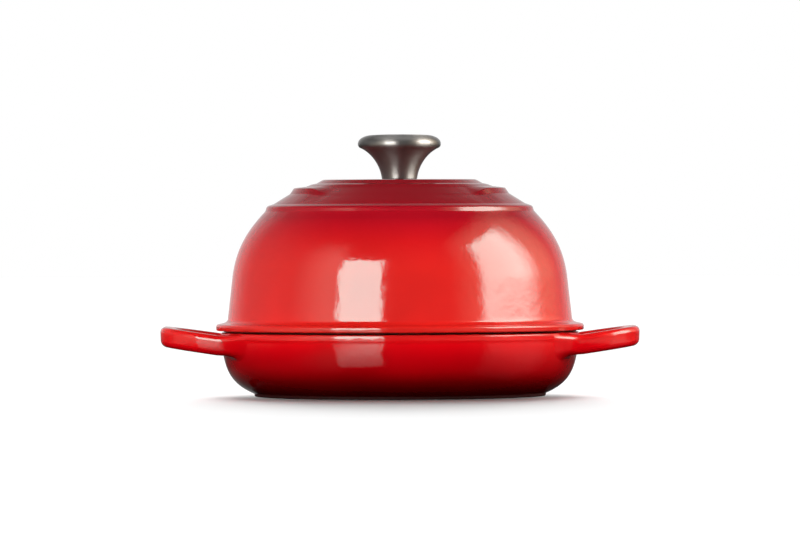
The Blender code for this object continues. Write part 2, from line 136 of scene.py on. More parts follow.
# Meshes
def newPiece(name, mesh, materials):
    for material in materials:
        mesh.materials.append(material)
    piece = bpy.data.objects.new(name, mesh)
    bpy.context.scene.collection.objects.link(piece)
    return piece


def pieceFromGrid(name, places, faces, finishes, sharpAngle, materials):
    # vertices are the rows of places, and those in one spot become one; finishes are material numbers
    mesh = bpy.data.meshes.new(name)
    mesh.from_pydata(places.reshape(-1, 3).tolist(), [], faces)
    mesh.polygons.foreach_set("material_index", np.asarray(finishes, np.int32))
    mesh.update()
    built = bmesh.new()
    built.from_mesh(mesh)
    bmesh.ops.remove_doubles(built, verts=built.verts, dist=tinyLength)
    bmesh.ops.recalc_face_normals(built, faces=built.faces)
    if built.calc_volume(signed=True) < 0:
        bmesh.ops.reverse_faces(built, faces=built.faces)
    built.to_mesh(mesh)
    built.free()
    mesh.shade_smooth()
    mesh.set_sharp_from_angle(angle=math.radians(sharpAngle))
    return newPiece(name, mesh, materials)


def gridFaces(rows, columns):
    # corner numbers of the quads between the rows and once round the columns, as (rows, columns, 4)
    index = np.arange(rows * columns).reshape(rows, columns)
    beside = np.roll(index, -1, axis=1)
    return np.stack([index, beside, np.roll(beside, -1, axis=0), np.roll(index, -1, axis=0)], axis=-1)


def turnedPiece(name, values, outline, finish, materials, shift=None):
    # x = r sin(a), y = -r cos(a), z = height, so a = 0 is the front; shift(r, z, a) may move the points
    columns = values["columns"]
    angle = np.linspace(0, 2 * np.pi, columns, endpoint=False)
    radius = np.repeat(outline[:, :1], columns, axis=1)
    height = np.repeat(outline[:, 1:], columns, axis=1)
    turn = np.repeat(angle[None, :], len(outline), axis=0)
    if shift is not None:
        radius, height = shift(radius, height, turn)
    places = np.stack([radius * np.sin(turn), -radius * np.cos(turn), height], axis=-1)
    # an outline that starts on the axis ends there too, and any other is closed
    rows = len(outline) - 1 if outline[0, 0] < tinyLength else len(outline)
    faces = gridFaces(*turn.shape)[:rows].reshape(-1, 4).tolist()
    return pieceFromGrid(name, places, faces, np.repeat(finish[:rows], columns), values["sharp"], materials)


def loftedPiece(name, rings, sharpAngle, material):
    # rings is (stations, points, 3); each ring is joined to the next, and the two ends are closed flat
    count, across = rings.shape[:2]
    faces = gridFaces(count, across)[:-1].reshape(-1, 4).tolist()
    faces += [list(range(across)), list(range(count * across - 1, (count - 1) * across - 1, -1))]
    return pieceFromGrid(name, rings, faces, np.zeros(len(faces)), sharpAngle, [material])


def combine(piece, helpers, operation):
    # joins or cuts with the exact solver and keeps the result as the piece's own mesh
    for helper in helpers:
        modifier = piece.modifiers.new(helper.name, "BOOLEAN")
        modifier.operation, modifier.object, modifier.solver = operation, helper, "EXACT"
    seen = piece.evaluated_get(bpy.context.evaluated_depsgraph_get())
    finished = bpy.data.meshes.new_from_object(seen)
    piece.modifiers.clear()
    piece.data = finished
    for helper in helpers:
        bpy.data.objects.remove(helper)


def standFor(piece, body, node):
    # the piece moves with its body and is shown in place of its CAD node
    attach(piece, body)
    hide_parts(node)
    print(piece.name, "stands for", node, "with", len(piece.data.polygons), "faces")


# Shader groups, whose inputs and outputs are all plain numbers
def newGroup(name, inputs, outputs):
    group = bpy.data.node_groups.new(name, "ShaderNodeTree")
    for label, value in inputs.items():
        socket = group.interface.new_socket(name=label, in_out="INPUT", socket_type="NodeSocketFloat")
        socket.default_value = value
    for label in outputs:
        group.interface.new_socket(name=label, in_out="OUTPUT", socket_type="NodeSocketFloat")
    return group, group.nodes.new("NodeGroupInput"), group.nodes.new("NodeGroupOutput")


def addNode(tree, kind, links=None, **settings):
    # settings are properties of the node, links are its sockets by name or number
    node = tree.nodes.new(kind)
    for key, value in settings.items():
        setattr(node, key, value)
    for socket, value in (links or {}).items():
        if isinstance(value, bpy.types.NodeSocket):
            tree.links.new(value, node.inputs[socket])
        else:
            node.inputs[socket].default_value = value
    return node


def doMath(tree, operation, *values):
    return addNode(tree, "ShaderNodeMath", dict(enumerate(values)), operation=operation).outputs[0]


def mapRange(tree, value, start, end, low=0.0, high=1.0, smooth=False):
    # start to end becomes low to high, held beyond both, in a straight line or eased at the ends
    kind = "SMOOTHSTEP" if smooth else "LINEAR"
    ends = {"From Min": start, "From Max": end, "To Min": low, "To Max": high}
    node = addNode(tree, "ShaderNodeMapRange", {"Value": value, **ends}, interpolation_type=kind)
    return node.outputs["Result"]


def addNoise(tree, place, scale, detail, roughness=0.5):
    links = {"Vector": place, "Scale": scale, "Detail": detail, "Roughness": roughness}
    return addNode(tree, "ShaderNodeTexNoise", links).outputs[0]


def makeCastingRelief():
    # poured iron under fired glass: long soft waves, fine peel and a slow change of tone
    inputs = {"Wave Scale": 60.0, "Peel Scale": 600.0, "Peel Share": 0.1, "Tone Scale": 14.0}
    group, given, put = newGroup("castingRelief", inputs, ("Height", "Tone"))
    place = addNode(group, "ShaderNodeTexCoord").outputs["Object"]
    wave = addNoise(group, place, given.outputs["Wave Scale"], 1.5, 0.45)
    peel = addNoise(group, place, given.outputs["Peel Scale"], 2.0)
    tone = addNoise(group, place, given.outputs["Tone Scale"], 3.0, 0.55)
    fine = doMath(group, "MULTIPLY", peel, given.outputs["Peel Share"])
    group.links.new(doMath(group, "ADD", wave, fine), put.inputs["Height"])
    group.links.new(tone, put.inputs["Tone"])
    return group


def makeHeightShare():
    # 0 at the low height and 1 at the high one, moved up and down a little by a mask
    inputs = {"Low": 0.0, "High": 0.1, "Mask": 0.5, "Mask Reach": 0.002}
    group, given, put = newGroup("heightShare", inputs, ("Share",))
    place = addNode(group, "ShaderNodeTexCoord").outputs["Object"]
    height = addNode(group, "ShaderNodeSeparateXYZ", {0: place}).outputs["Z"]
    centred = doMath(group, "SUBTRACT", given.outputs["Mask"], 0.5)
    moved = doMath(group, "ADD", height, doMath(group, "MULTIPLY", centred, given.outputs["Mask Reach"]))
    share = mapRange(group, moved, given.outputs["Low"], given.outputs["High"])
    group.links.new(share, put.inputs["Share"])
    return group


def makeTurningMarks():
    # fine rings left by the tool, by the distance from the Z axis, broken up by a slow noise
    group, given, put = newGroup("turningMarks", {"Ring Scale": 3000.0}, ("Height", "Streak"))
    place = addNode(group, "ShaderNodeTexCoord").outputs["Object"]
    parts = addNode(group, "ShaderNodeSeparateXYZ", {0: place})
    flat = addNode(group, "ShaderNodeCombineXYZ", {0: parts.outputs["X"], 1: parts.outputs["Y"]}).outputs[0]
    radius = addNode(group, "ShaderNodeVectorMath", {0: flat}, operation="LENGTH").outputs["Value"]
    # the radius plus a share of the height, so that walls and faces both carry rings
    along = doMath(group, "ADD", radius, doMath(group, "MULTIPLY", parts.outputs["Z"], 0.7))
    ring = doMath(group, "MULTIPLY", along, given.outputs["Ring Scale"])
    marks = addNode(group, "ShaderNodeTexNoise", {"W": ring, "Detail": 3.0, "Roughness": 0.7},
                    noise_dimensions="1D").outputs[0]
    cloud = doMath(group, "ADD", addNoise(group, place, 160.0, 2.0), 0.5)
    group.links.new(marks, put.inputs["Height"])
    group.links.new(doMath(group, "MULTIPLY", marks, cloud), put.inputs["Streak"])
    return group


castingRelief = makeCastingRelief()
heightShare = makeHeightShare()
turningMarks = makeTurningMarks()


def newMaterial(name):
    material = bpy.data.materials.new(name)
    material.use_nodes = True
    tree = material.node_tree
    return material, tree, tree.nodes["Principled BSDF"]


def spread(tree, value, low, high):
    # a noise of about 0.3 to 0.7 spread over the range from low to high
    return mapRange(tree, value, 0.3, 0.7, low, high)


def dressShader(tree, shader, colour, mask, height, values):
    # the mask varies the colour's brightness and the roughness over their ranges, the height gives the bump
    tone = spread(tree, mask, *values["tone"])
    toned = addNode(tree, "ShaderNodeHueSaturation", {"Value": tone, "Color": colour})
    bump = addNode(tree, "ShaderNodeBump", {"Height": height, "Distance": values["depth"]})
    tree.links.new(toned.outputs["Color"], shader.inputs["Base Color"])
    tree.links.new(spread(tree, mask, *values["roughness"]), shader.inputs["Roughness"])
    tree.links.new(bump.outputs["Normal"], shader.inputs["Normal"])


# Gloss red enamel, its colour set by height from the dark foot over clear red to the burgundy crown. The
# darkening towards the foot and the crown is partly the enamel's own graded colour and partly painted shade,
# where little light falls on the underside and the top; the green and blue near the base's rim and on the
# lid's lower part are painted reflection.
enamel = {
    "relief": {"Wave Scale": 140.0, "Peel Scale": 360.0, "Peel Share": 0.34}, "depth": 0.00014,
    "roughness": (0.065, 0.110), "tone": (0.90, 1.10), "edgeWander": 0.004,
    "shine": (0.38, 1.0, 0.97), "topShine": (0.72, 1.0, 0.97),
    # height and colour
    "baseColourAndShade": [(0.000, (0.064, 0.0001, 0.0004)), (0.004, (0.082, 0.0001, 0.0005)),
                   (0.012, (0.135, 0.0001, 0.0009)), (0.020, (0.275, 0.0001, 0.0020)),
                   (0.029, (0.365, 0.0002, 0.0027)), (0.037, (0.500, 0.0008, 0.0036)),
                   (0.044, (0.520, 0.0060, 0.0060)), (0.055, (0.480, 0.0110, 0.0090))],
    "lidColourAndShade": [(0.045, (0.462, 0.0090, 0.0070)), (0.090, (0.462, 0.0080, 0.0060)),
                  (0.107, (0.397, 0.0045, 0.0062)), (0.118, (0.322, 0.0026, 0.0078)),
                  (0.123, (0.252, 0.0020, 0.0075)), (0.1295, (0.255, 0.0020, 0.0080)),
                  (0.1315, (0.208, 0.0015, 0.0070)), (0.1345, (0.188, 0.0030, 0.0075)),
                  (0.149, (0.174, 0.0040, 0.0085))],
}


def makeRedEnamel(name, shades, shine):
    material, tree, shader = newMaterial(name)
    relief = addNode(tree, "ShaderNodeGroup", enamel["relief"], node_tree=castingRelief).outputs
    low, high = shades[0][0], shades[-1][0]
    share = addNode(tree, "ShaderNodeGroup", {
        "Low": low, "High": high, "Mask": relief["Tone"], "Mask Reach": enamel["edgeWander"],
    }, node_tree=heightShare)
    # colour by height from the table, which holds painted shade and painted reflection as well as the
    # enamel's own colour
    ramp = addNode(tree, "ShaderNodeValToRGB", {0: share.outputs["Share"]})
    while len(ramp.color_ramp.elements) < len(shades):
        ramp.color_ramp.elements.new(0.5)
    for stop, (height, colour) in zip(ramp.color_ramp.elements, shades):
        stop.position = (height - low) / (high - low)
        stop.color = (*colour, 1.0)
    dressShader(tree, shader, ramp.outputs["Color"], relief["Tone"], relief["Height"], enamel)
    shader.inputs["Specular Tint"].default_value = (*shine, 1.0)
    return material


# Satin black enamel inside and under, the barer iron of the two meeting rims, and the foot's worn edge
black = {"colour": (0.012, 0.011, 0.011), "roughness": (0.30, 0.42), "depth": 0.00010, "gloss": 0.5}
rim = {"colour": (0.020, 0.014, 0.013), "roughness": (0.45, 0.60), "depth": 0.00006, "gloss": 0.5}
footEdge = {"colour": (0.012, 0.0003, 0.0003), "roughness": (0.75, 0.85), "depth": 0.00006, "gloss": 0.15}
darkRelief = {"Wave Scale": 140.0, "Peel Scale": 1500.0, "Peel Share": 0.5, "Tone Scale": 40.0}
darkTone = (0.75, 1.25)


def makeDarkFinish(name, values):
    material, tree, shader = newMaterial(name)
    relief = addNode(tree, "ShaderNodeGroup", darkRelief, node_tree=castingRelief).outputs
    values = {**values, "tone": darkTone}
    dressShader(tree, shader, (*values["colour"], 1.0), relief["Tone"], relief["Height"], values)
    shader.inputs["Specular IOR Level"].default_value = values["gloss"]
    return material


# Satin turned stainless steel of the knob, its colour darkened well below bare steel's as painted shade for
# the dark surroundings that it reflects, and the plated steel of its fastening
stainless = {"colour": (0.200, 0.193, 0.189), "roughness": (0.32, 0.40), "ringScale": 5200.0,
             "depth": 0.00001, "metal": 0.90, "drawn": 0.85}
zinc = {"colour": (0.60, 0.60, 0.59), "roughness": (0.28, 0.42), "ringScale": 9000.0,
        "depth": 0.000006, "metal": 1.0, "drawn": 0.0}
spring = {**zinc, "colour": (0.36, 0.36, 0.37), "roughness": (0.34, 0.50)}
turning = {"tone": (0.92, 1.06), "drawnTurn": 0.25}


def makeTurnedSteel(name, values):
    material, tree, shader = newMaterial(name)
    scale = {"Ring Scale": values["ringScale"]}
    marks = addNode(tree, "ShaderNodeGroup", scale, node_tree=turningMarks).outputs
    values = {**turning, **values}
    dressShader(tree, shader, (*values["colour"], 1.0), marks["Streak"], marks["Height"], values)
    shader.inputs["Metallic"].default_value = values["metal"]
    # the turning marks draw highlights out along the axis
    shader.inputs["Anisotropic"].default_value = values["drawn"]
    shader.inputs["Anisotropic Rotation"].default_value = values["drawnTurn"]
    return material


redBase = makeRedEnamel("red enamel of the base", enamel["baseColourAndShade"], enamel["shine"])
redLid = makeRedEnamel("red enamel of the lid", enamel["lidColourAndShade"], enamel["shine"])
redTop = makeRedEnamel("red enamel above the ledge", enamel["lidColourAndShade"], enamel["topShine"])
blackInside = makeDarkFinish("black enamel inside", black)
bareRim = makeDarkFinish("matt rim", rim)
bareFoot = makeDarkFinish("worn edge of the foot", footEdge)
knobSteel = makeTurnedSteel("turned stainless steel", stainless)
screwSteel = makeTurnedSteel("zinc plated screw", zinc)
washerSteel = makeTurnedSteel("zinc plated washer", zinc)
springSteel = makeTurnedSteel("spring steel", spring)
print("materials made")

# material numbers on both castings; number 3 is the foot's edge on the base, and the ledge and all above it
# on the lid
red, inside, matt, bare, above = 0, 1, 2, 3, 3


# Base: foot, bowl, rim band and ribbed floor. Names that end in Edge are roundings
base = {
    "columns": 288, "sharp": 40, "wallSteps": 60, "floorSteps": 120, "arcSteps": 6, "topSteps": 8,
    "blendSteps": 8, "wallStop": 0.0002,
    "footRadius": 0.0999, "footWidth": 0.0095, "footHeight": 0.0019, "footEdge": 0.0012,
    "footInnerEdge": 0.0004,
    "recess": 0.0010, "recessEdge": 0.0006, "floorTop": 0.0048, "wall": 0.0034,
    "lowerAngle": 24.0, "lowerPull": 0.383, "upperAngle": 84.5, "upperPull": 0.525,
    "rimHeight": 0.0441, "rimRadius": 0.1230, "rimWidth": 0.0050, "rimInside": 0.0040,
    "band": 0.0057, "proud": 0.0005, "bandStep": 0.0015, "bandEdge": 0.0030,
    "outerEdge": 0.0014, "innerEdge": 0.0008, "floorBlend": 0.0080, "blendStart": 0.0012, "blendPull": 0.4,
    "ringFirst": 0.0240, "ringPitch": 0.0190, "ringCount": 4, "ringWidth": 0.0052, "ringHeight": 0.0015,
}


def bowlLine(steps):
    return bendLine(
        (base["footRadius"], base["footHeight"]), base["lowerAngle"], base["lowerPull"],
        (base["rimRadius"] - base["proud"], base["rimHeight"] - base["band"]),
        base["upperAngle"], base["upperPull"], steps,
    )


def baseOutside(steps):
    # bowl and rim band up to the rounded top edge
    bowl = bowlLine(steps)
    band = softLine([
        (*bowl[-1], 0), (base["rimRadius"], bowl[-1, 1] + base["bandStep"], base["bandEdge"]),
        (base["rimRadius"], base["rimHeight"] - base["outerEdge"], 0),
    ])
    return np.vstack([bowl, band[1:]])


def floorLine(start, steps):
    # flat floor with soft round ribs: height times the squared cosine across each rib
    radius = np.linspace(start, 0, steps + 1)
    middles = base["ringFirst"] + base["ringPitch"] * np.arange(base["ringCount"])
    across = np.clip((radius[:, None] - middles) / base["ringWidth"], -0.5, 0.5)
    rib = np.sum(np.cos(np.pi * across) ** 2, axis=1)
    return np.column_stack([radius, base["floorTop"] + base["ringHeight"] * rib])


def baseOutline():
    radius, height, outer = base["rimRadius"], base["rimHeight"], base["outerEdge"]
    footRadius, edge, steps = base["footRadius"], base["footEdge"], base["wallSteps"]
    footInside, mouth = footRadius - base["footWidth"], radius - base["rimWidth"]
    under = softLine([
        (0, base["recess"], 0), (footInside - base["recess"], base["recess"], base["recessEdge"]),
        (footInside, 0, base["footInnerEdge"]), (footRadius - edge, 0, 0),
    ])
    foot = arcLine((footRadius - edge, edge), edge, -90, 0, base["arcSteps"])
    top = arcLine((radius - outer, height - outer), outer, 0, 90, base["topSteps"])
    lip = softLine([(radius - outer, height, 0), (mouth, height, base["innerEdge"]),
                    (mouth, height - base["rimInside"], 0)])
    # the inner wall stops short of the mouth's edge and of the floor, where the blend takes over
    wall = offsetLine(bowlLine(steps), base["wall"])[::-1]
    wall = wall[(wall[:, 0] < mouth - base["wallStop"])
                & (wall[:, 1] > base["floorTop"] + base["blendStart"])]
    floorEdge = wall[-1, 0] - base["floorBlend"]
    blend = bendLine(wall[-1], 180 + base["lowerAngle"], base["blendPull"],
                     (floorEdge, base["floorTop"]), 180, base["blendPull"], base["blendSteps"])
    return joinLines(
        (under, inside), (foot, bare), (baseOutside(steps), red), (top, red), (lip, matt),
        (wall, inside), (blend, inside), (floorLine(floorEdge, base["floorSteps"]), inside),
    )


# Loop handles: a rounded strap that leaves the bowl, bends round and comes back, with flared roots
loop = {
    "gap": 0.02925, "halfSpan": 0.0449, "rootHeight": 0.0361, "rise": 8.3,
    "width": 0.0118, "height": 0.0136, "corner": 0.0041, "draft": 0.045, "endHalf": 0.0128,
    "startTurn": -6.0, "rootPull": 0.390, "endPull": 0.437, "rootLength": 0.0112,
    "flareTop": 0.0190, "flareLow": 0.0120, "flareIn": 0.0085, "flareDown": 0.0050, "flareUp": 0.0008,
    "startPull": 0.50, "meetPull": 0.22, "lift": 0.05, "sink": 0.00012, "depth": 0.0020, "leanReach": 0.003,
    "wallSteps": 120, "sectionSteps": 10, "rootSteps": 26, "bendSteps": 72, "sharp": 60,
}


def strapSection():
    # (outward, up) points of the rounded rectangle
    wide, tall = loop["width"] / 2 - loop["corner"], loop["height"] / 2 - loop["corner"]
    sides = [(1, 1, 0), (-1, 1, 90), (-1, -1, 180), (1, -1, 270)]
    return np.vstack([
        arcLine((across * wide, up * tall), loop["corner"], start, start + 90, loop["sectionSteps"])
        for across, up, start in sides
    ])


def handleRings():
    # half a loop, from inside the bowl's wall to the middle of the end, and then its mirror image
    section = strapSection()
    halfWidth, halfHeight = loop["width"] / 2, loop["height"] / 2
    up = section[:, 1]
    # the sides close in towards the bottom, as a casting's do
    out = section[:, 0] * (1 - loop["draft"] * (1 - up / halfHeight))
    wall = baseOutside(loop["wallSteps"])

    def radiusAt(height):
        return np.interp(height, wall[:, 1], wall[:, 0])

    climb = math.tan(math.radians(loop["rise"]))
    straight = math.sqrt(radiusAt(loop["rootHeight"]) ** 2 - loop["halfSpan"] ** 2) + loop["rootLength"]
    # bend: the section is carried along a cubic in plan, and rises with its distance from the bowl
    endX = base["rimRadius"] + loop["gap"] + halfWidth
    path = bendLine((straight, loop["halfSpan"]), loop["startTurn"], loop["rootPull"],
                    (endX, loop["endHalf"]), -90, loop["endPull"], loop["bendSteps"])
    run = np.gradient(path, axis=0)
    start = math.radians(loop["startTurn"])
    run[0], run[-1] = (math.cos(start), math.sin(start)), (0, -1)
    run /= np.hypot(run[:, 0], run[:, 1])[:, None]
    x = path[:, :1] - run[:, 1:] * out
    y = path[:, 1:] + run[:, :1] * out
    z = loop["rootHeight"] + (x - straight) * climb + up
    bend = np.stack([x, y, z], axis=-1)
    # root: from a wider ring on the bowl to the plain section, each point along a cubic that leaves
    # nearly in the bowl's own surface and arrives along the strap
    outShare, upShare = out / halfWidth, up / halfHeight
    side = loop["flareLow"] + (loop["flareTop"] - loop["flareLow"]) * (upShare + 1) / 2
    y = loop["halfSpan"] + out + outShare * np.where(outShare > 0, side, loop["flareIn"])
    z = loop["rootHeight"] + up + upShare * np.where(upShare > 0, loop["flareUp"], loop["flareDown"])
    foot = np.column_stack([np.sqrt(radiusAt(z) ** 2 - y ** 2), y, z])
    reach = loop["leanReach"]
    lean = (radiusAt(z + reach) - radiusAt(z - reach)) / (2 * reach)
    normal = np.column_stack([foot[:, :2] / radiusAt(z)[:, None], -lean])
    normal /= np.linalg.norm(normal, axis=1)[:, None]
    foot -= loop["sink"] * normal
    gap = bend[0] - foot
    chord = np.linalg.norm(gap, axis=1)[:, None]
    leave = gap - np.sum(gap * normal, axis=1)[:, None] * normal
    leave = leave / np.linalg.norm(leave, axis=1)[:, None] + loop["lift"] * normal
    arrive = np.array([run[0, 0], run[0, 1], climb])
    root = cubicAt(np.linspace(0, 1, loop["rootSteps"] + 1)[:-1, None, None],
                   foot, foot + loop["startPull"] * chord * leave,
                   bend[0] - loop["meetPull"] * chord * arrive, bend[0])
    buried = foot - loop["depth"] * normal
    half = np.concatenate([buried[None], root, bend])
    return np.concatenate([half, half[::-1] * [1, -1, 1]])


def makeBase():
    piece = turnedPiece("ovenBase", base, *baseOutline(), [redBase, blackInside, bareRim, bareFoot])
    rings = handleRings()
    loops = [loftedPiece(name, rings * [side, 1, 1], loop["sharp"], redBase)
             for name, side in (("rightLoop", 1), ("leftLoop", -1))]
    combine(piece, loops, "UNION")
    standFor(piece, "base", "base")


makeBase()

# Lid: seat, flange, dome, shoulder ledge, raised ring with its plain front panel, crown
lid = {
    "columns": 324, "sharp": 40, "land": 0.0444, "height": 0.1041, "wall": 0.0032, "softEdge": 0.0003,
    "lipGap": 0.0009, "lipWidth": 0.0028, "lipDepth": 0.0038, "lipEdge": 0.0008,
    "landWidth": 0.0026, "landDrop": 0.0009,
    "flangeRadius": 0.1260, "flangeThick": 0.0045, "lowerEdge": 0.0010, "upperEdge": 0.0017,
    "slope": 12.0, "fillet": 0.0038, "filletPull": 0.4,
    "domeRadius": 0.11795, "taperAngle": 96.3, "taperTop": 0.0347, "lowerPull": 0.366,
    "upperAngle": 133.3, "upperPull": 0.403, "shoulderRadius": 0.0928, "shoulderDrop": 0.0223,
    "crownThick": 0.0040, "innerFlat": 0.0300, "flatPull": 0.35, "roofPull": 0.30, "hole": 0.0033,
    # the panel's half angle and its run-out, and where the ring may be pressed back
    "panelAngle": 49.7, "panelBlend": 17.0,
    "pressRadius": (0.0570, 0.0860), "pressDrop": 0.0190, "pressReach": 0.0008,
    "taperSteps": 12, "domeSteps": 60, "cornerSteps": 6, "arcSteps": 6, "upperSteps": 10,
    "filletSteps": 10, "roofSteps": 30, "ledgeJoin": 4, "shellStop": 0.0001,
    # (radius, drop below the crown, rounding) from the ledge up to the crown, ring and plain panel
    "ledge": [(0.0921, 0.02155, 0.0030), (0.0911, 0.0182, 0.0026), (0.0862, 0.01655, 0.0006)],
    "ring": [(0.0751, 0.0097, 0.0016), (0.0724, 0.0058, 0.0013), (0.0640, 0.0047, 0.0030),
             (0.0603, 0.0033, 0.0020)],
    "panel": [(0.0746, 0.0109, 0.0012), (0.0724, 0.0097, 0.0009), (0.0640, 0.0055, 0.0030),
              (0.0603, 0.0032, 0.0012)],
    "crown": [(0.0568, 0.00255, 0.0016), (0.0523, 0.0, 0.0040), (0.0300, 0.0, 0.0)],
}


def lidTop():
    return lid["land"] + lid["height"]


def domeLine():
    # straight taper, then a cubic over to the ledge
    start = lid["land"] + lid["landDrop"] + lid["flangeThick"] + lid["fillet"]
    height = np.linspace(start, lid["land"] + lid["taperTop"], lid["taperSteps"])
    lean = math.tan(math.radians(lid["taperAngle"] - 90))
    taper = np.column_stack([lid["domeRadius"] - (height - start) * lean, height])
    bend = bendLine(taper[-1], lid["taperAngle"], lid["lowerPull"],
                    (lid["shoulderRadius"], lidTop() - lid["shoulderDrop"]),
                    lid["upperAngle"], lid["upperPull"], lid["domeSteps"])
    return np.vstack([taper, bend[1:]])


def topLine(middle):
    # from just below the dome's end: ledge, ring or plain panel, and crown, as drops below the crown
    corners = np.array([(*domeLine()[-lid["ledgeJoin"]], 0)] + [
        (radius, lidTop() - drop, rounding)
        for radius, drop, rounding in lid["ledge"] + lid[middle] + lid["crown"]
    ])
    return softLine(corners, lid["cornerSteps"])


def lidOutline():
    soft = lid["softEdge"]
    mouth = base["rimRadius"] - base["rimWidth"]
    lipOut = mouth - lid["lipGap"]
    lipIn = lipOut - lid["lipWidth"]
    landOut = mouth + lid["landWidth"]
    under, bottom = lid["land"] + lid["landDrop"], lid["land"] - lid["lipDepth"]
    lowerEdge, upperEdge = lid["lowerEdge"], lid["upperEdge"]
    seat = softLine([
        (lipIn, under, 0), (lipIn, bottom, lid["lipEdge"]), (lipOut, bottom, lid["lipEdge"]),
        (lipOut, lid["land"], soft), (landOut, lid["land"], soft),
        (landOut + lid["landDrop"], under, soft), (lid["flangeRadius"] - lowerEdge, under, 0),
    ])
    lower = arcLine((lid["flangeRadius"] - lowerEdge, under + lowerEdge), lowerEdge, -90, 0,
                    lid["arcSteps"])
    upper = arcLine((lid["flangeRadius"] - upperEdge, under + lid["flangeThick"] - upperEdge), upperEdge,
                    0, 90 - lid["slope"], lid["upperSteps"])
    # the flange falls outwards in a straight slope, which a fillet joins to the dome
    inner = lid["domeRadius"] + lid["fillet"]
    filletStart = (inner, upper[-1, 1] + (upper[-1, 0] - inner) * math.tan(math.radians(lid["slope"])))
    dome = domeLine()
    fillet = bendLine(filletStart, 180 - lid["slope"], lid["filletPull"],
                      dome[0], lid["taperAngle"], lid["filletPull"], lid["filletSteps"])
    crownUnder = lidTop() - lid["crownThick"]
    hole = softLine([
        (lid["crown"][-1][0], lidTop(), 0), (lid["hole"], lidTop(), soft),
        (lid["hole"], crownUnder, soft), (lid["innerFlat"], crownUnder, 0),
    ])
    shell = offsetLine(dome, lid["wall"])[::-1]
    roof = bendLine((lid["innerFlat"], crownUnder), 0, lid["flatPull"],
                    shell[0], lid["upperAngle"] - 180, lid["roofPull"], lid["roofSteps"])
    shell = shell[shell[:, 0] < lipIn - lid["shellStop"]]
    return joinLines(
        (seat, matt), (lower, red), (upper, red), (fillet, red), (dome[:-lid["ledgeJoin"]], red),
        (topLine("ring"), above), (hole[:-2], matt), (hole[-2:], inside), (roof, inside), (shell, inside),
    )


def pressPanel(radius, height, turn):
    # across the front the ring is pressed back to the plain panel: z = ring + (panel - ring)(1 - share),
    # where the share eases from 0 to 1 over the run-out on both sides

    def heightOn(line):
        return np.interp(radius, line[::-1, 0], line[::-1, 1])

    ring, plain = heightOn(topLine("ring")), heightOn(topLine("panel"))
    away = np.degrees(np.abs((turn + np.pi) % (2 * np.pi) - np.pi))
    start = lid["panelAngle"] - lid["panelBlend"] / 2
    drop = (ring - plain) * (1 - smoothStep(start, start + lid["panelBlend"], away))
    low, high = lid["pressRadius"]
    outer = (height > lidTop() - lid["pressDrop"]) & (radius < high) & (radius > low)
    onTop = outer & (np.abs(height - ring) < lid["pressReach"])
    return radius, np.where(onTop, height - drop, height)


def makeLid():
    finishes = [redLid, blackInside, bareRim, redTop]
    piece = turnedPiece("ovenLid", lid, *lidOutline(), finishes, pressPanel)
    standFor(piece, "lid", "lid")


makeLid()

# Knob: blind hole, seat, stem, wide flare, crease and rounded rim
knob = {
    "columns": 192, "sharp": 30, "base": 0.1488, "height": 0.0306, "radius": 0.02845,
    "stem": 0.01215, "stemAngle": 84.0, "stemPull": 0.367, "footEdge": 0.0004,
    "flareRadius": 0.0270, "flareHeight": 0.0214, "flareAngle": 21.8, "flarePull": 0.305,
    "edgeAngle": 40.0, "edgePull": 0.35, "widest": 0.0242, "widestPull": 0.45,
    "sidePull": 0.31, "topRadius": 0.0190, "topDrop": 0.0004, "topAngle": 177.0, "topPull": 0.46,
    "capPull": 0.4, "holeEnd": 0.1628, "holeEndEdge": 0.0002,
    "flareSteps": 40, "edgeSteps": 10, "sideSteps": 24, "capSteps": 12,
}


def knobOutline():
    low, high = knob["base"], knob["base"] + knob["height"]
    hole = softLine([(0, knob["holeEnd"], 0), (lid["hole"], knob["holeEnd"], knob["holeEndEdge"]),
                     (lid["hole"], low, lid["softEdge"]), (knob["stem"] - knob["footEdge"], low, 0)])
    stem = (knob["stem"], low + knob["footEdge"])
    flareEnd = (knob["flareRadius"], low + knob["flareHeight"])
    widest = (knob["radius"], low + knob["widest"])
    topEdge = (knob["topRadius"], high - knob["topDrop"])
    flare = bendLine(stem, knob["stemAngle"], knob["stemPull"],
                     flareEnd, knob["flareAngle"], knob["flarePull"], knob["flareSteps"])
    edge = bendLine(flareEnd, knob["edgeAngle"], knob["edgePull"],
                    widest, 90, knob["widestPull"], knob["edgeSteps"])
    side = bendLine(widest, 90, knob["sidePull"],
                    topEdge, knob["topAngle"], knob["topPull"], knob["sideSteps"])
    cap = bendLine(topEdge, knob["topAngle"], knob["capPull"],
                   (0, high), 180, knob["capPull"], knob["capSteps"])
    return joinLines((hole, 0), (flare, 0), (edge, 0), (side, 0), (cap, 0))


def makeKnob():
    piece = turnedPiece("turnedKnob", knob, *knobOutline(), [knobSteel])
    standFor(piece, "lid", "knob")


makeKnob()

# Fastening under the crown: pan head screw with a cross recess, plain washer and split spring washer
screw = {
    "columns": 72, "sharp": 35, "seat": 0.1408, "length": 0.0200, "shank": 0.0030, "tip": 0.0006,
    "neck": 0.0010, "head": 0.0060, "headHeight": 0.0040, "headFlat": 0.0024, "headSide": 0.0010,
    "headPull": 0.4, "headSteps": 14, "headEdge": 0.00025, "neckEdge": 0.0002,
    "pitch": 0.0010, "threadRows": 190, "threadDepth": 0.00045, "threadStart": 0.0022,
    "fadeIn": 0.0010, "fadeOut": 0.0002, "driveLong": 0.0058, "driveWide": 0.0012,
    "driveDeep": 0.0022, "driveTaper": 0.62, "driveRows": 5, "driveSharp": 30,
}
flatWasher = {"columns": 96, "sharp": 35, "radius": 0.0080, "edge": 0.00015, "edgeSteps": 4}
lockWasher = {"columns": 96, "sharp": 35, "radius": 0.0059, "edge": 0.00012, "edgeSteps": 4, "gap": 14.0}


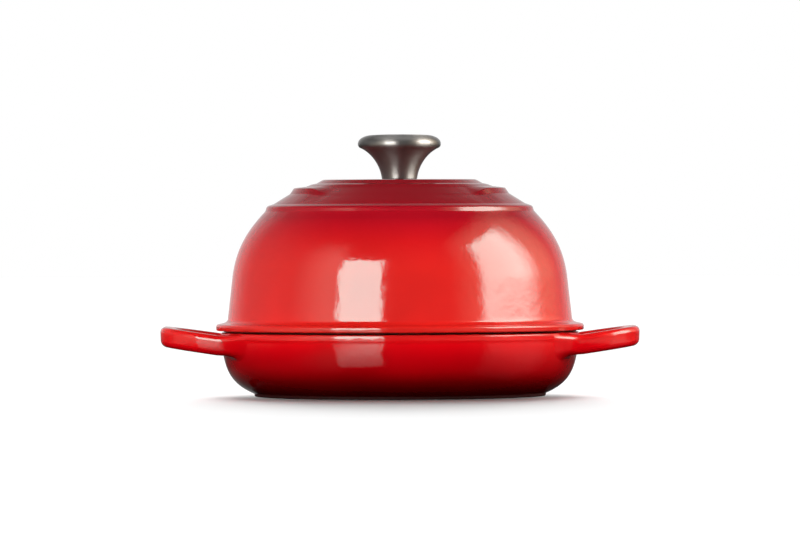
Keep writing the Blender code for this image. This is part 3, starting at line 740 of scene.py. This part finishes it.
def screwOutline():
    seat, low = screw["seat"], screw["seat"] - screw["headHeight"]
    radius, tip, high = screw["shank"], screw["tip"], screw["seat"] + screw["length"]
    side = (screw["head"], seat - screw["headSide"])
    head = bendLine((screw["headFlat"], low), 0, screw["headPull"], side, 90, screw["headPull"],
                    screw["headSteps"])
    neck = softLine([(*side, 0), (screw["head"], seat, screw["headEdge"]),
                     (radius, seat, screw["neckEdge"]), (radius, seat + screw["neck"], 0)])
    rows = np.linspace(seat + screw["neck"], high - tip, screw["threadRows"])
    shank = np.column_stack([np.full(len(rows), radius), rows])
    end = softLine([(*shank[-1], 0), (radius - tip, high, 0), (0, high, 0)])
    return joinLines((np.array([(0, low)]), 0), (head, 0), (neck, 0), (shank, 0), (end, 0))


def cutThread(radius, height, turn):
    # the shank's radius falls by a triangle wave of height over pitch minus turn, faded in at both ends
    wave = np.abs(2 * ((height / screw["pitch"] - turn / (2 * np.pi)) % 1) - 1)
    start = screw["seat"] + screw["threadStart"]
    end = screw["seat"] + screw["length"] - screw["tip"]
    amount = smoothStep(start, start + screw["fadeIn"], height)
    amount = amount * (1 - smoothStep(end - screw["fadeOut"], end, height))
    onShank = np.abs(radius - screw["shank"]) < tinyLength
    return np.where(onShank, radius - screw["threadDepth"] * wave * amount, radius), height


def driveBar(name, size):
    # one tapered bar of the cross, as a loft of rectangles that narrow towards the recess's floor
    low, deep = screw["seat"] - screw["headHeight"], screw["driveDeep"]
    depth = np.linspace(-deep, deep, screw["driveRows"])
    shrink = 1 - (1 - screw["driveTaper"]) * np.clip(depth / deep, 0, 1)
    corner = np.array([(1, 1), (-1, 1), (-1, -1), (1, -1)]) * 0.5
    flat = corner * np.array(size) * shrink[:, None, None]
    rings = np.concatenate([flat, np.repeat((low + depth)[:, None, None], 4, axis=1)], axis=-1)
    return loftedPiece(name, rings, screw["driveSharp"], screwSteel)


def makeScrew():
    piece = turnedPiece("panHeadScrew", screw, *screwOutline(), [screwSteel], cutThread)
    size = (screw["driveLong"], screw["driveWide"])
    combine(piece, [driveBar("driveLong", size), driveBar("driveCross", size[::-1])], "DIFFERENCE")
    standFor(piece, "lid", "knob_screw")


def washerSection(node, values):
    # (radius, height) round the washer's section, as high as the washer that it stands for
    hole, outside, edge = lid["hole"], values["radius"], values["edge"]
    middle, (low, high) = (hole + outside) / 2, (corner[2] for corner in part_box(node))
    return softLine([(middle, low, 0), (outside, low, edge), (outside, high, edge), (hole, high, edge),
                     (hole, low, edge), (middle, low, 0)], values["edgeSteps"])[:-1]


def makeFlatWasher():
    section = washerSection("flat_washer", flatWasher)
    finish = np.zeros(len(section))
    piece = turnedPiece("plainWasher", flatWasher, section, finish, [washerSteel])
    standFor(piece, "lid", "flat_washer")


def makeSpringWasher():
    # the section is carried round a turn less the gap; both cut ends are flat
    section = washerSection("lock_washer", lockWasher)
    angle = np.radians(np.linspace(0, 360 - lockWasher["gap"], lockWasher["columns"] + 1))[:, None]
    radius, height = section[None, :, 0], np.repeat(section[None, :, 1], len(angle), axis=0)
    rings = np.stack([radius * np.cos(angle), radius * np.sin(angle), height], axis=-1)
    piece = loftedPiece("springWasher", rings, lockWasher["sharp"], springSteel)
    standFor(piece, "lid", "lock_washer")


makeScrew()
makeFlatWasher()
makeSpringWasher()

# Studio: a pale floor that only the camera sees, and a dark glossy table just under it that the oven reflects
studio = {
    "floorSize": 16.0, "floorColour": 0.80, "floorLevel": 1.03,
    "tableColour": 0.006, "tableGloss": 1.36, "tableRoughness": 0.06, "tableDrop": 0.0005,
    # x from matt to mirror on the left and on the right, and the reach over which it mirrors again
    "tableMirror": ((-0.17, -0.08), (0.06, -0.03)), "tableDull": 0.15, "tableFar": (0.24, 0.42),
    "tableFarMirror": 0.30,
    # distance to the side and y over which the table glows in the gloss, standing in for a lit pale table
    "tablePale": (0.26, 0.46), "tableFront": (0.1, -0.1), "tablePaleLevel": 0.65,
    "tablePaleColour": (1.0, 0.92, 0.76),
    "roomGlow": 0.17, "roomSide": 0.26, "roomBehind": 0.50, "roomBehindFrom": 0.55,
    "roomTop": 0.03, "roomTopRange": (0.42, 0.97), "roomLight": 0.10,
    # height of each sun in degrees and its share of the floor's light
    "sunWidth": 32.0, "sunShares": {12: 0.22, 24: 0.25, 37: 0.24, 52: 0.18, 68: 0.08, 84: 0.03},
    "sheetSize": (3.0, 3.0), "sheetPlace": (0.0, 0.6, 2.6), "sheetRadiance": 0.9,
}


def makeSheet(name, height, material):
    # a flat square round the origin
    half = studio["floorSize"] / 2
    corners = [(x * half, y * half, height) for x, y in ((-1, -1), (1, -1), (1, 1), (-1, 1))]
    mesh = bpy.data.meshes.new(name)
    mesh.from_pydata(corners, [], [(0, 1, 2, 3)])
    sheet = newPiece(name, mesh, [material])
    sheet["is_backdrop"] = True
    return sheet


def makeFloor():
    material, tree, shader = newMaterial("pale floor")
    tree.nodes.remove(shader)
    surface = addNode(tree, "ShaderNodeBsdfDiffuse", {"Color": (*[studio["floorColour"]] * 3, 1.0)})
    tree.links.new(surface.outputs[0], tree.nodes["Material Output"].inputs["Surface"])
    floor = makeSheet("paleFloor", 0.0, material)
    floor.visible_diffuse = floor.visible_glossy = floor.visible_transmission = False
    return floor


def makeTable():
    material, tree, shader = newMaterial("dark table")
    colour = (*[studio["tableColour"]] * 3, 1.0)
    shader.inputs["Base Color"].default_value = colour
    shader.inputs["Roughness"].default_value = studio["tableRoughness"]
    shader.inputs["IOR"].default_value = studio["tableGloss"]
    # the table mirrors in front of the oven and far from it, and is nearly matt close by on both sides
    place = addNode(tree, "ShaderNodeTexCoord").outputs["Object"]
    aside = addNode(tree, "ShaderNodeSeparateXYZ", {0: place})
    reach = addNode(tree, "ShaderNodeVectorMath", {0: place}, operation="LENGTH").outputs["Value"]
    far = mapRange(tree, reach, *studio["tableFar"], 0.0, studio["tableFarMirror"], smooth=True)
    left, right = (mapRange(tree, aside.outputs["X"], outer, inner, studio["tableDull"])
                   for outer, inner in studio["tableMirror"])
    mirror = doMath(tree, "MAXIMUM", doMath(tree, "MULTIPLY", left, right), far)
    dull = addNode(tree, "ShaderNodeBsdfDiffuse", {"Color": colour})
    mix = addNode(tree, "ShaderNodeMixShader", {0: mirror, 1: dull.outputs[0], 2: shader.outputs[0]})
    # off to both sides its front half glows, seen only in the gloss, where a lit pale table would be
    # reflected
    away = doMath(tree, "ABSOLUTE", aside.outputs["X"])
    beside = mapRange(tree, away, *studio["tablePale"], 0.0, studio["tablePaleLevel"], smooth=True)
    front = mapRange(tree, aside.outputs["Y"], *studio["tableFront"])
    seen = doMath(tree, "MULTIPLY", front, addNode(tree, "ShaderNodeLightPath").outputs["Is Glossy Ray"])
    pale = addNode(tree, "ShaderNodeEmission", {
        "Color": (*studio["tablePaleColour"], 1.0), "Strength": doMath(tree, "MULTIPLY", beside, seen)})
    both = addNode(tree, "ShaderNodeAddShader", {0: mix.outputs[0], 1: pale.outputs[0]})
    tree.links.new(both.outputs[0], tree.nodes["Material Output"].inputs["Surface"])
    material.cycles.emission_sampling = "NONE"
    makeSheet("darkTable", -studio["tableDrop"], material).visible_camera = False


def makeWorld():
    # white to the camera; in gloss a faint glow near the horizon, dark overhead; an even light for the rest
    world = bpy.data.worlds.new("studio")
    bpy.context.scene.world = world
    world.use_nodes = True
    tree = world.node_tree
    place = addNode(tree, "ShaderNodeTexCoord").outputs["Generated"]
    way = addNode(tree, "ShaderNodeSeparateXYZ", {0: place})
    # the glow is a little stronger to the left, by x squared, and behind the oven
    side = doMath(tree, "MAXIMUM", doMath(tree, "MULTIPLY", way.outputs["X"], -1.0), 0.0)
    squared = doMath(tree, "POWER", side, 2.0)
    level = doMath(tree, "MULTIPLY_ADD", squared, studio["roomSide"], studio["roomGlow"])
    start, most = studio["roomBehindFrom"], studio["roomBehind"]
    level = doMath(tree, "ADD", level, mapRange(tree, way.outputs["Y"], start, 1.0, 0.0, most, smooth=True))
    glow = mapRange(tree, way.outputs["Z"], *studio["roomTopRange"], level, studio["roomTop"], smooth=True)
    path = addNode(tree, "ShaderNodeLightPath")
    glossy = mapRange(tree, path.outputs["Is Glossy Ray"], 0.0, 1.0, studio["roomLight"], glow)
    strength = mapRange(tree, path.outputs["Is Camera Ray"], 0.0, 1.0, glossy, 1.0)
    tree.nodes["Background"].inputs["Color"].default_value = (1, 1, 1, 1)
    tree.links.new(strength, tree.nodes["Background"].inputs["Strength"])
    world.cycles.sampling_method = "NONE"


# Upright panels round the object, which light everything but the floor. turn is the side it stands on, in
# degrees from the camera; edges are tangents to its sides from the line that faces the object; soft is the
# share of the panel over which it fades in at its left, right, lower and upper edge; shows says what sees it
panels = {
    "leftBox": {"turn": -27.5, "distance": 2.5, "edges": (-0.289, 0.315), "heights": (0.03, 1.60),
                "radiance": 14.4, "soft": (0.10, 0.11, 0.01, 0.06), "shows": "gloss"},
    "rightBox": {"turn": 94.0, "distance": 2.2, "edges": (-0.86, 0.38), "heights": (0.05, 2.70),
                 "radiance": 10.5, "soft": (0.20, 0.38, 0.20, 0.16), "shows": "gloss"},
    "leftGlow": {"turn": -50.0, "distance": 3.6, "edges": (-0.62, 0.25), "heights": (0.0, 4.6),
                 "radiance": 2.0, "soft": (1.00, 0.30, 0.01, 0.60), "shows": "gloss",
                 "colour": (1.0, 0.96, 0.80)},
    "rightGlow": {"turn": 85.0, "distance": 3.6, "edges": (-1.28, 1.50), "heights": (0.0, 6.8),
                  "radiance": 2.3, "soft": (0.42, 0.45, 0.10, 0.50), "shows": "gloss",
                  "colour": (1.0, 0.80, 0.56)},
    "leftFill": {"turn": -27.5, "distance": 2.5, "edges": (-0.287, 0.295), "heights": (0.03, 1.62),
                 "radiance": 3.3, "shows": "light"},
    "rightFill": {"turn": 94.0, "distance": 2.2, "edges": (-0.88, 0.30), "heights": (0.15, 2.64),
                  "radiance": 3.0, "shows": "light"},
}
for name, turn, radiance in (("frontWall", 0.0, 3.9), ("leftWall", -90.0, 4.8), ("rightWall", 90.0, 4.0),
                             ("backWall", 180.0, 3.6)):
    panels[name] = {"turn": turn, "distance": 2.6, "edges": (-0.9, 0.9), "heights": (0.0, 1.9),
                    "radiance": radiance, "shows": "light"}
# what a panel has that names no colour or softness of its own
panelPlain = {"colour": (1.0, 0.985, 0.93), "soft": (0.1, 0.1, 0.1, 0.1)}


def newLamp(name, kind):
    # a lamp that the camera doesn't see
    lamp = bpy.data.lights.new(name, kind)
    stand = bpy.data.objects.new(name, lamp)
    bpy.context.scene.collection.objects.link(stand)
    stand.visible_camera = False
    return lamp, stand


def setArea(lamp, size, radiance):
    # energy of a flat rectangle that glows evenly with the radiance
    lamp.shape, lamp.size, lamp.size_y = "RECTANGLE", *size
    lamp.energy = radiance * math.pi * lamp.size * lamp.size_y


def makePanel(name, values):
    values = {**panelPlain, **values}
    turn, away = math.radians(values["turn"]), values["distance"]
    low, high = values["heights"]
    near, far = (away * edge for edge in values["edges"])
    lamp, box = newLamp(name, "AREA")
    setArea(lamp, (far - near, high - low), values["radiance"])
    lamp.color = values["colour"]
    # strength fades towards each edge, by the panel's own two parameters
    lamp.use_nodes = True
    tree = lamp.node_tree
    place = addNode(tree, "ShaderNodeNewGeometry").outputs["Parametric"]
    across = addNode(tree, "ShaderNodeSeparateXYZ", {0: place})
    left, right, lower, upper = values["soft"]
    strength = 1.0
    for axis, start, end in (("X", 0, left), ("X", 1, 1 - right), ("Y", 0, lower), ("Y", 1, 1 - upper)):
        fade = mapRange(tree, across.outputs[axis], start, end, smooth=True)
        strength = doMath(tree, "MULTIPLY", strength, fade)
    tree.links.new(strength, tree.nodes["Emission"].inputs["Strength"])
    middle = (near + far) / 2
    box.location = (away * math.sin(turn) + middle * math.cos(turn),
                    middle * math.sin(turn) - away * math.cos(turn), (low + high) / 2)
    box.rotation_euler = (math.pi / 2, 0, turn)
    box.visible_glossy = values["shows"] == "gloss"
    box.visible_diffuse = values["shows"] == "light"
    # a panel for light alone is sampled directly only, or a trace of it would show in the gloss
    lamp.cycles.use_multiple_importance_sampling = values["shows"] == "gloss"
    return box


def linkedTo(name, objects, state):
    # a collection for light linking; the objects are in it and nowhere else through it
    group = bpy.data.collections.new(name)
    for number, one in enumerate(objects):
        group.objects.link(one)
        group.collection_objects[number].light_linking.link_state = state
    return group


def makeFloorLight(floor, boxes):
    # suns from behind up to the zenith light the floor alone, each with its share of the floor's light;
    # only the lid and knob throw the shadow, because the photograph has none under the handles
    lit, unlit = linkedTo("litFloor", [floor], "INCLUDE"), linkedTo("unlitFloor", [floor], "EXCLUDE")
    shading = linkedTo("shading", [bpy.data.objects["ovenLid"], bpy.data.objects["turnedKnob"]], "INCLUDE")
    for height, share in studio["sunShares"].items():
        lamp, sun = newLamp("floorLight", "SUN")
        lamp.angle = math.radians(studio["sunWidth"])
        slant = math.sin(math.radians(height))
        lamp.energy = studio["floorLevel"] * share * math.pi / (studio["floorColour"] * slant)
        sun.rotation_euler = (math.radians(90 - height), 0, math.pi)
        sun.light_linking.receiver_collection = lit
        sun.light_linking.blocker_collection = shading
    for box in boxes:
        box.light_linking.receiver_collection = unlit


def makeKnobLight():
    # a soft sheet overhead that only the knob reflects
    lamp, sheet = newLamp("knobSheet", "AREA")
    setArea(lamp, studio["sheetSize"], studio["sheetRadiance"])
    sheet.location = studio["sheetPlace"]
    sheet.light_linking.receiver_collection = linkedTo("litKnob", [bpy.data.objects["turnedKnob"]], "INCLUDE")


paleFloor = makeFloor()
makeTable()
makeWorld()
makeFloorLight(paleFloor, [makePanel(name, values) for name, values in panels.items()])
makeKnobLight()
print("floor and light made")

# Camera: far off and 4 cm above the point that it looks at, so half a degree down; the roll is in degrees
view = {"distance": 4.98, "height": 0.132, "aimX": 0.0003, "aimZ": 0.0885, "lens": 326.8, "sensor": 36.0,
        "roll": 0.2, "seesTo": 100.0}


def makeCamera():
    lens = bpy.data.cameras.new("photoCamera")
    lens.lens, lens.sensor_width, lens.clip_end = view["lens"], view["sensor"], view["seesTo"]
    camera = bpy.data.objects.new("photoCamera", lens)
    bpy.context.scene.collection.objects.link(camera)
    camera.location = (view["aimX"], -view["distance"], view["height"])
    down = math.atan2(view["height"] - view["aimZ"], view["distance"])
    camera.rotation_euler = (math.pi / 2 - down, math.radians(view["roll"]), 0)
    bpy.context.scene.camera = camera


makeCamera()
bpy.context.scene.view_settings.view_transform = "Standard"

bpy.context.view_layer.update()
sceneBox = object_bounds()
plain = lambda box: [[float(number) for number in corner] for corner in box]
{"cad": plain(cadBox), "scene": plain(sceneBox)}
print("sizes", plain(cadBox), plain(sceneBox))
